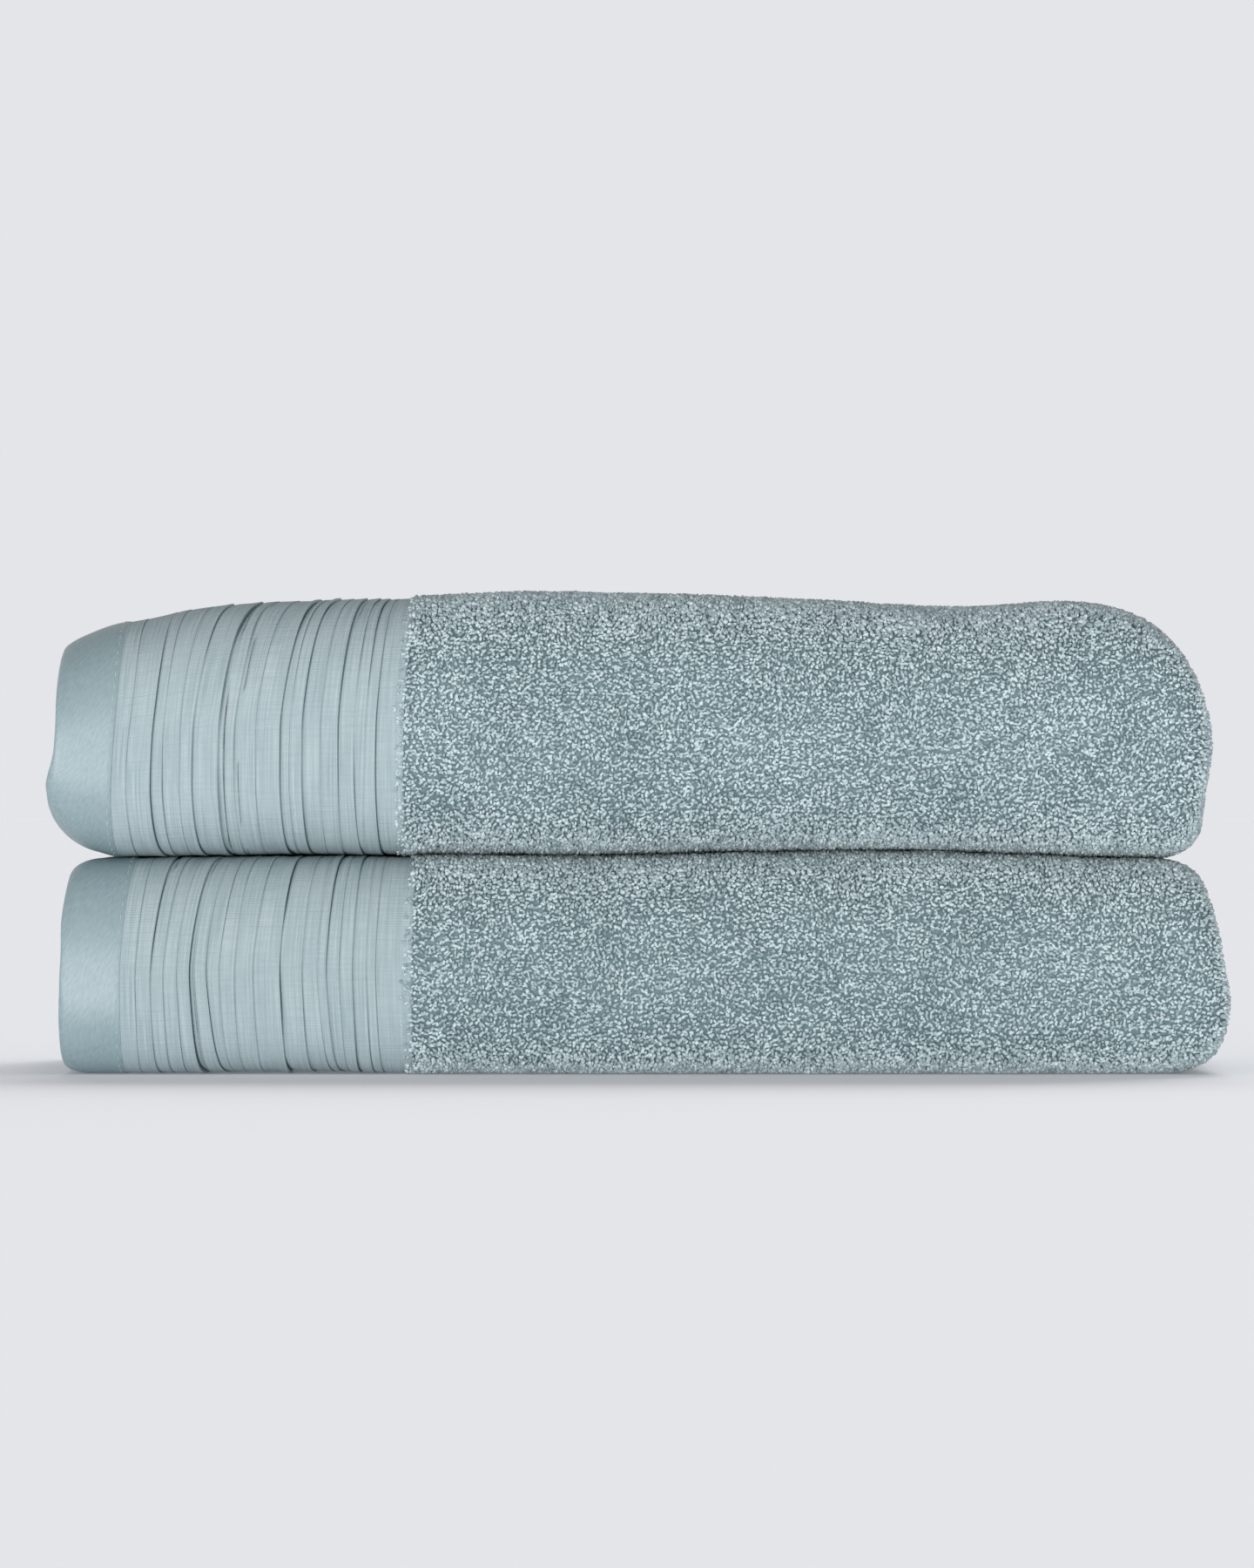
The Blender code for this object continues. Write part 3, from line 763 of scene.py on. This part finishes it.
def make_pile(towel, name, stretches, pitch, seed, material):
    """Loops of pile on the right side of the terry, plump at the top and leaning all ways."""
    dice = np.random.default_rng(seed)
    places = [pile_places(towel, dice, *stretch, pitch) for stretch in stretches]
    s = np.concatenate([place[0] for place in places])
    t = np.concatenate([place[1] for place in places])
    # The pile's edge beside the border is ragged
    ragged = towel.seam_x + 0.0009 * soft_waves(towel.seed + 7, 7, 0.004, 0.02)(t)
    kept = s > ragged + dice.uniform(-PILE_OVER_BORDER, 0.0004, len(s))
    s, t = s[kept], t[kept]
    count = len(s)
    point, run, over, normal = cloth_frame(towel, s, t)
    lie = soft_waves(seed + 5, 6, 0.008, 0.04)(s, t)
    swirl = soft_waves(seed + 6, 6, 0.01, 0.05)(s, t)
    stray = dice.normal(0, HEADING_STRAY, count)
    heading = (HEADING + HEADING_SWIRL * swirl + stray)[:, None]
    ahead = np.cos(heading) * run + np.sin(heading) * over
    beside = np.cross(normal, ahead)
    height = TUFT_HEIGHT * dice.uniform(*HEIGHT_SPREAD, (count, 1)) * (1 + 0.15 * lie[:, None])
    half_length = 0.5 * TUFT_LENGTH * pitch * dice.uniform(*LENGTH_SPREAD, (count, 1))
    half_width = 0.5 * TUFT_WIDTH * pitch * dice.uniform(*WIDTH_SPREAD, (count, 1))
    lean_way = dice.normal(0, LEAN_STRAY, (count, 2)) + LEAN_SWIRL * np.stack([lie, swirl], axis=1)
    lean_way = pitch / FINE_PITCH * lean_way
    lean = lean_way[:, :1] * run + lean_way[:, 1:] * over
    base = point + normal * (TERRY_HALF - TUFT_EMBED)
    points = np.stack([
        base + ahead * half_length * forward + beside * half_width * aside
        + normal * (height + TUFT_EMBED) * rise + lean * swing
        for forward, aside, rise, swing in TUFT_CORNERS], axis=1)
    size = len(TUFT_CORNERS)
    faces = (np.array(TUFT_FACES) + size * np.arange(count)[:, None, None]).reshape(-1, 3)
    piece = new_piece(towel, name, points, faces, material)
    set_numbers(piece, "tip", np.tile(TUFT_TIPS, count))
    set_numbers(piece, "shade", np.repeat(dice.uniform(0, 1, count), size))
    # A map for baking the colours, where each tuft has a small patch of its own
    cell = np.array([(forward * 0.4 * pitch, aside * 0.3 * pitch)
                     for forward, aside, _, _ in TUFT_CORNERS])
    where = np.stack([s, t], axis=1)[:, None, :] + cell
    low, high = where.reshape(-1, 2).min(0), where.reshape(-1, 2).max(0)
    set_map(piece, "OFBake", (where - low) / (high - low))
    return piece


def make_all_pile(towel, material):
    """Pile wherever the terry's right side shows, in pieces of a modest number of faces."""
    ends, turns = towel.ends, towel.turns
    seam, edge = towel.seam_x - PILE_OVER_BORDER, SIDE_HEM_WIDTH
    far = ends[2] + 0.004
    under, over = turns[3] - 0.02, turns[4] + 0.01
    back = turns[2] + 0.02
    nose = ((ends[3] - 0.006, ends[4] + 0.006), (edge, TOWEL_WIDTH - edge))
    # The lower towel lies on its underside, so only the closed end of that shows
    strips, start = (2, seam) if towel.under else (1, far - 0.04)
    regions = (("front_fold", FINE_PITCH, 3, (seam, far), (under, over)),
               ("top", PLAIN_PITCH, 3, (seam, far), (over, TOWEL_WIDTH - edge)),
               ("back_fold", PLAIN_PITCH, 1, (seam, far), (turns[1] - 0.01, back)),
               ("underside", PLAIN_PITCH, strips, (start, far), (back, under)))
    pieces = []
    for name, pitch, strips, (start, end), across_it in regions:
        bounds = np.linspace(start, end, strips + 1)
        for number, stretch in enumerate(zip(bounds, bounds[1:])):
            pieces.append(make_pile(towel, f"pile_of_{name}_{number + 1}", [(stretch, across_it)],
                                    pitch, towel.seed + 11 + len(pieces), material))
    under_fold = ((far - 0.04, far), (edge, turns[1] - 0.01))
    pieces.append(make_pile(towel, "pile_of_loops", [under_fold, nose], PLAIN_PITCH,
                            towel.seed + 30, material))
    return pieces


# ---- borders and hems ----

def pleated_line(folds, start, end):
    """(place, height, number of the pleat or -1) along the band, in order, at a depth of 1."""
    between = [x for x in np.arange(start, end, PLAIN_STEP)
               if (np.abs(x - folds) > PLEAT_REACH).all() and min(x - start, end - x) > 0.0004]
    plain = [(x, 0.0, -1) for x in [start, *between, end]]
    bent = [(fold + offset, height, number) for number, fold in enumerate(folds)
            for offset, height in PLEAT_SHAPE if abs(offset) <= PLEAT_REACH]
    # A pleat overhangs, so its own points stay in the order of PLEAT_SHAPE
    return np.array(sorted(plain + bent, key=lambda at: at[0] if at[2] < 0 else folds[at[2]]))


def wandering(pleats, folds, t_values, way, dice):
    """How deep each pleat is along its fold, how wide it is, and how far its fold wanders."""
    depth, width, sway = [], [], []
    heel = np.clip((3.5 - way) / 0.5, 0, 1) ** 1.3 * eased((way - 2.6) / 0.4)
    for fold, gap, (crest, centre, foot), slant in pleats:
        strength = np.interp(way, [2.6, 3.05, 3.3, 3.55, 3.9, 4.6],
                             [0.8, 1.2 * foot, foot, centre, crest, 0.8])
        flutter = soft_waves(dice.integers(1 << 30), 4, 0.02, 0.07)(t_values)
        depth.append(strength * np.clip(0.9 + 0.6 * flutter, 0.1, 1.5))
        opened = np.interp(way, [2.8, 3.1, 3.2, 3.75, 3.95, 4.3],
                           [1.0, 1 + 1.2 * foot, 1.0, 1.0, 1 + 0.8 * crest, 1.0])
        width.append(gap * opened * (1 + 0.30 * np.roll(flutter, 9)))
        drift = soft_waves(dice.integers(1 << 30), 4, 0.03, 0.14)(t_values)
        room = np.abs(folds[folds != fold] - fold).min()
        sway.append(0.00045 * drift * np.clip(room / 0.005, 0.3, 1) + slant * heel)
    return np.array(depth), np.array(width), np.array(sway)


def make_border(towel, which, pleats, seed, material):
    """A band of plain weave sewn down in uneven pleats, as a closed strip."""
    start, end = HEM_WIDTH - UNDER_HEM, towel.seam_x + OVER_TERRY
    folds = np.array([pleat[0] for pleat in pleats])
    line = pleated_line(folds, start, end)
    flat_place, number = line[:, 0], line[:, 2].astype(int)
    t_values = np.clip(rows_across(towel, 0.0022, 0.006), BAND_EDGE_INSET,
                       TOWEL_WIDTH - BAND_EDGE_INSET)
    dice = np.random.default_rng(seed)
    depth, width, sway = wandering(pleats, folds, t_values, way_over(towel, t_values), dice)
    stops = np.concatenate([[start], folds, [end]])
    held = [np.interp(flat_place, stops, one) for one in np.eye(len(stops))[1:-1]]
    place = np.repeat(line[None, :, 0], len(t_values), axis=0) + sway.T @ np.array(held)
    height, painted_fold_shade = np.zeros_like(place), np.zeros_like(place)
    offsets, heights = np.array(PLEAT_SHAPE).T
    for k, deep in enumerate(depth[:, :, None]):
        own = number == k
        away = flat_place - folds[k]
        shift = away[own]
        place[:, own] += (width[k][:, None] - 1) * shift * (shift > 0)
        height[:, own] += line[own, 1] * deep
        # The cloth on either side of the fold rises to its lip and settles again
        swell = np.interp(away, offsets[heights >= 0], heights[heights >= 0], left=0, right=0)
        height[:, ~own] += (swell * (away < 0))[None, ~own] * deep
        # The bottom of each pleat's gap takes painted shade, more where the pleat is deeper
        sunk = np.clip(-line[own, 1] / PLEAT_BOTTOM, 0, 1)
        painted_fold_shade[:, own] += sunk * np.clip(1.3 * deep, 0, 1)
    ripple = soft_waves(seed + 3, 9, 0.004, 0.016)
    broad = soft_waves(seed + 4, 6, 0.012, 0.04)
    t = np.repeat(t_values[:, None], len(line), axis=1)
    height += RIPPLE * ripple(place, t * 0.1) + BROAD_RIPPLE * broad(place, t * 0.25)
    high = BORDER_TOP + height
    if which == "outer":
        edge = np.minimum(place - start, end - place) / BAND_EDGE_EASE
        high = high - BAND_EDGE_DROP * (1 - eased(edge))
    place = np.clip(place, 0.0, None)
    s = place if which == "outer" else towel.ends[-1] - place
    gaps = np.hypot(np.diff(flat_place), np.diff(line[:, 1]))
    travel = np.append(0, np.cumsum(gaps))
    piece = shell(towel, f"{which}_pleated_border", s, t, high, BORDER_BACK,
                  np.repeat(travel[None], len(t_values), axis=0), material)
    # How much painted shade each point takes in the pleats' gaps, none on the back
    set_numbers(piece, "fold", np.append(painted_fold_shade.ravel(), 0 * painted_fold_shade.ravel()))
    return piece, float(gaps.sum())


def make_end_hem(towel, which, seed, material):
    """The flat satin band at the end: cloth turned over and sewn down, with a soft rounded edge."""
    half, width = HEM_HALF, HEM_WIDTH
    turn = np.linspace(-pi / 2, pi / 2, 7)
    edge = [(half * (1 - cos(a)), half * sin(a)) for a in turn]
    crown = [(x, half * (1 + 0.12 * sin(pi * x / width))) for x in
             np.linspace(half + 0.001, width - 0.0005, 12)]
    inner = [(width - 0.0001, half * 0.9), (width + 0.0001, half * 0.45),
             (width - 0.0003, -half * 0.8)]
    under = [(x, -half) for x in np.linspace(width - 0.0012, half + 0.001, 8)]
    ring = np.array(edge + crown + inner + under)
    t_values = rows_across(towel, 0.0024, 0.007)
    wave = soft_waves(seed, 5, 0.03, 0.12)
    uneven = 0.0007 * wave(t_values)[:, None] * (ring[:, 0] < 0.004)
    x = np.maximum(ring[:, 0] + uneven, 0.0)
    t = np.repeat(t_values[:, None], len(ring), axis=1)
    lift = np.repeat(ring[:, 1][None], len(t_values), axis=0) + HEM_LIFT
    s = x if which == "outer" else towel.ends[-1] - x
    points = lifted(towel, s, t, lift).reshape(-1, 3)
    rows, columns = x.shape
    first = np.arange(rows - 1)[:, None] * columns
    this, following = first + np.arange(columns), first + (np.arange(columns) + 1) % columns
    faces = np.stack([this, following, following + columns, this + columns], axis=-1).reshape(-1, 4)
    piece = new_piece(towel, f"{which}_end_hem", points, faces, material)
    cap_ends(piece, rows, columns)
    travel = np.append(0, np.cumsum(np.hypot(*np.diff(ring, axis=0).T)))
    set_map(piece, "weave", np.stack([np.repeat(travel[None], rows, axis=0), t], axis=-1))
    return piece


def cap_ends(piece, rows, columns):
    """Closes a tube whose rings are stored one after another, and turns its faces outwards."""
    body = bmesh.new()
    body.from_mesh(piece.data)
    body.verts.ensure_lookup_table()
    body.faces.new([body.verts[i] for i in range(columns)])
    body.faces.new([body.verts[(rows - 1) * columns + i] for i in range(columns)])
    bmesh.ops.recalc_face_normals(body, faces=body.faces)
    body.to_mesh(piece.data)
    body.free()


def make_stitches(towel, name, s, t, heading, lift, material):
    """A row of separate stitches, each a short rounded run of thread sunk into the cloth."""
    point, run, over, normal = cloth_frame(towel, s, t)
    ahead = run if heading == "along" else over
    beside = np.cross(normal, ahead)
    lift = np.broadcast_to(lift, s.shape)
    side = np.sign(lift)[:, None]
    base = point + normal * lift[:, None]
    # Each ring, as (where along the stitch, how high, how wide), the last two in yarn radii
    rings = ((-0.5, -0.9, 0.35), (-0.4, 0.0, 0.9), (0.0, 0.45, 1.0), (0.4, 0.0, 0.9),
             (0.5, -0.9, 0.35))
    sides = 6
    points = np.empty((len(s), len(rings), sides, 3))
    for ring, (where, rise, swell) in enumerate(rings):
        centre = base + ahead * STITCH_LENGTH * where + normal * side * STITCH_YARN * rise
        for corner in range(sides):
            angle = 2 * pi * corner / sides
            points[:, ring, corner] = centre + STITCH_YARN * swell * (
                cos(angle) * beside + sin(angle) * normal)
    walls = [(r * sides + c, r * sides + (c + 1) % sides, (r + 1) * sides + (c + 1) % sides,
              (r + 1) * sides + c) for r in range(len(rings) - 1) for c in range(sides)]
    last = (len(rings) - 1) * sides
    one = [(a, b, c) for a, b, c, d in walls] + [(a, c, d) for a, b, c, d in walls]
    one += [(0, c + 1, c) for c in range(1, sides - 1)]
    one += [(last, last + c, last + c + 1) for c in range(1, sides - 1)]
    size = len(rings) * sides
    faces = (np.array(one) + size * np.arange(len(s))[:, None, None]).reshape(-1, 3)
    return new_piece(towel, name, points, faces, material)


def stitch_row_across(towel, which, name, x, lift, material):
    first = SIDE_STITCH_INSET + 0.002
    t = np.arange(first, TOWEL_WIDTH - first, STITCH_SPACING)
    s = np.full_like(t, x if which == "outer" else towel.ends[-1] - x)
    return make_stitches(towel, name, s, t, "across", lift, material)


def stitch_row_along(towel, name, t_place, material):
    last = towel.ends[-1]
    s = np.arange(0.003, last - 0.003, STITCH_SPACING)
    near_end = np.minimum(s, last - s)
    lift = np.where(near_end < towel.seam_x, BORDER_TOP, SIDE_HEM_HALF)
    lift = np.where(near_end < HEM_WIDTH, HEM_LIFT + HEM_HALF, lift)
    return make_stitches(towel, name, s, np.full_like(s, t_place), "along", lift, material)


# ---- the scene ----

lower = folded_towel("lower", LOWER_PLY_AIR, 0.0, LOWER_TOP_LINE, LOWER_LEFT_END,
                     LOWER_RIGHT_END, LOWER_PINCH, (LOWER_HEAD_SLIDE, LOWER_FOOT_SLIDE), 20)
upper = folded_towel("upper", UPPER_PLY_AIR, UPPER_SLACK, UPPER_TOP_LINE, UPPER_LEFT_END,
                     UPPER_RIGHT_END, UPPER_PINCH, (UPPER_HEAD_SLIDE, UPPER_FOOT_SLIDE), 60)
upper.under = lower
upper.x_step = UPPER_LEFT_STEP


def middle_y(node_name):
    low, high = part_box(node_name)
    return (low.y + high.y) / 2


# The CAD pieces say where each towel lies
lower.y_step = middle_y("lower_front_side_stitching") + lower.panel / 2 - SIDE_STITCH_INSET
upper.y_step = middle_y("upper_front_side_stitching") + upper.panel / 2 - SIDE_STITCH_INSET
origin_shift = np.array([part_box("lower_outer_end_hem")[0].x, 0.0])

terry = terry_material("terry_ground", pile=False)
pile = terry_material("terry_pile", pile=True)
linen = linen_material()
satin = satin_material()
thread = thread_material()


def make_towel(towel, outer_pleats):
    body = make_terry(towel, terry)
    loops = make_all_pile(towel, pile)
    outer, outer_run = make_border(towel, "outer", outer_pleats, towel.seed + 21, linen)
    inner, inner_run = make_border(towel, "inner", INNER_PLEATS, towel.seed + 22, linen)
    outer_hem = make_end_hem(towel, "outer", towel.seed + 31, satin)
    inner_hem = make_end_hem(towel, "inner", towel.seed + 32, satin)
    rows = {}
    for which in ("outer", "inner"):
        for band, x, lift in (("hem", HEM_WIDTH - HEM_ROW_INSET, HEM_LIFT + HEM_HALF),
                              ("border", towel.seam_x - BORDER_ROW_INSET, BORDER_TOP)):
            name = f"{which}_{band}_stitching"
            rows[name] = stitch_row_across(towel, which, name, x, lift, thread)
    for side, t in (("back", TOWEL_WIDTH - SIDE_STITCH_INSET), ("front", SIDE_STITCH_INSET)):
        name = f"{side}_side_stitching"
        rows[name] = stitch_row_along(towel, name, t, thread)
    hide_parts(f"{towel.name}_terry_cloth")
    for which, border, hem in (("outer", outer, outer_hem), ("inner", inner, inner_hem)):
        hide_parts(f"{towel.name}_{which}_pleated_border")
        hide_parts(f"{towel.name}_{which}_end_hem")
    for name, row in rows.items():
        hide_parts(f"{towel.name}_{name}")


make_towel(lower, LOWER_PLEATS)
make_towel(upper, UPPER_PLEATS)


BACKDROP = (228, 229, 233)
FLOOR_GLOW = 0.125
FLOOR_ALBEDO = 0.74


def floor_material():
    """A pale matt floor. Some of its light is its own, so that it matches the backdrop."""
    material = bpy.data.materials.new("pale_floor")
    material.use_nodes = True
    tree = material.node_tree
    tree.nodes.remove(tree.nodes["Principled BSDF"])
    tint = linear(BACKDROP)
    matt = node(tree, "ShaderNodeBsdfDiffuse",
                Color=tuple(FLOOR_ALBEDO * part / tint[1] for part in tint[:3]) + (1.0,))
    glow = node(tree, "ShaderNodeEmission", Color=tint, Strength=FLOOR_GLOW)
    both = tree.nodes.new("ShaderNodeAddShader")
    tree.links.new(matt.outputs[0], both.inputs[0])
    tree.links.new(glow.outputs[0], both.inputs[1])
    tree.links.new(both.outputs[0], tree.nodes["Material Output"].inputs[0])
    return material


def make_floor():
    bpy.ops.mesh.primitive_plane_add(size=60, location=(0, 0, 0))
    floor = bpy.context.object
    floor.name = "floor"
    floor.data.materials.append(floor_material())
    return floor


SKY_AT_HORIZON = 1.0
SKY_OVERHEAD = 0.32
SKY_COLOUR = (0.985, 0.99, 1.0, 1)


def make_world():
    """A studio brighter all round than overhead. The camera sees only its plain backdrop."""
    world = bpy.data.worlds.new("studio")
    bpy.context.scene.world = world
    world.use_nodes = True
    tree = world.node_tree
    light = tree.nodes["Background"]
    direction = node(tree, "ShaderNodeSeparateXYZ", Vector=place_of(tree, "Generated"))
    strength = spread(tree, direction.outputs["Z"], SKY_AT_HORIZON, SKY_OVERHEAD, 0.0, 0.8)
    tree.links.new(strength, light.inputs[1])
    light.inputs[0].default_value = SKY_COLOUR
    seen = node(tree, "ShaderNodeBackground", Color=linear(BACKDROP), Strength=1.0)
    path = tree.nodes.new("ShaderNodeLightPath")
    blend = tree.nodes.new("ShaderNodeMixShader")
    tree.links.new(path.outputs["Is Camera Ray"], blend.inputs[0])
    tree.links.new(light.outputs[0], blend.inputs[1])
    tree.links.new(seen.outputs[0], blend.inputs[2])
    tree.links.new(blend.outputs[0], tree.nodes["World Output"].inputs[0])


def soft_sun(name, azimuth, elevation, strength, spread_angle):
    """Light from far away, so that the floor is lit evenly. Azimuth 0 is the camera's own side."""
    data = bpy.data.lights.new(name, "SUN")
    data.energy, data.angle = strength, radians(spread_angle)
    light = new_object(name, data)
    light.rotation_euler = (radians(90 - elevation), 0, radians(azimuth))
    return light


CAMERA_DISTANCE = 4.0
FRAME_HEIGHT = 0.4763
CAMERA_X = -0.0045
CAMERA_Z = 0.0881
SENSOR = 36.0
# The round front folds draw the outline, this far in front of the fold's middle
OUTLINE_AHEAD = 0.015


def make_camera():
    data = bpy.data.cameras.new("camera")
    data.sensor_width = SENSOR
    data.lens = SENSOR * CAMERA_DISTANCE / FRAME_HEIGHT
    data.clip_end = 100
    camera = new_object("camera", data)
    outline_y = -lower.panel / 2 + lower.y_step - OUTLINE_AHEAD
    camera.location = (CAMERA_X, outline_y - CAMERA_DISTANCE, CAMERA_Z)
    camera.rotation_euler = (pi / 2, 0, 0)
    bpy.context.scene.camera = camera


floor = make_floor()
make_world()
# The key light comes from a little below the floor, as off a card laid in front of the towels,
# so it passes through the floor
key = soft_sun("key", -8, -6, 2.0, 30)
floor_only = bpy.data.collections.new("floor_only")
floor_only.objects.link(floor)
passed_through = bpy.data.collections.new("passed_through")
passed_through.objects.link(floor)
passed_through.collection_objects[0].light_linking.link_state = "EXCLUDE"
key.light_linking.blocker_collection = passed_through
soft_sun("rim", 160, 8, 0.9, 40).visible_glossy = False
# This one only draws the shadow on the floor in front of the towels
soft_sun("floor_light", 172, 36, 2.2, 30).light_linking.receiver_collection = floor_only
make_camera()
bpy.context.scene.view_settings.view_transform = "Standard"
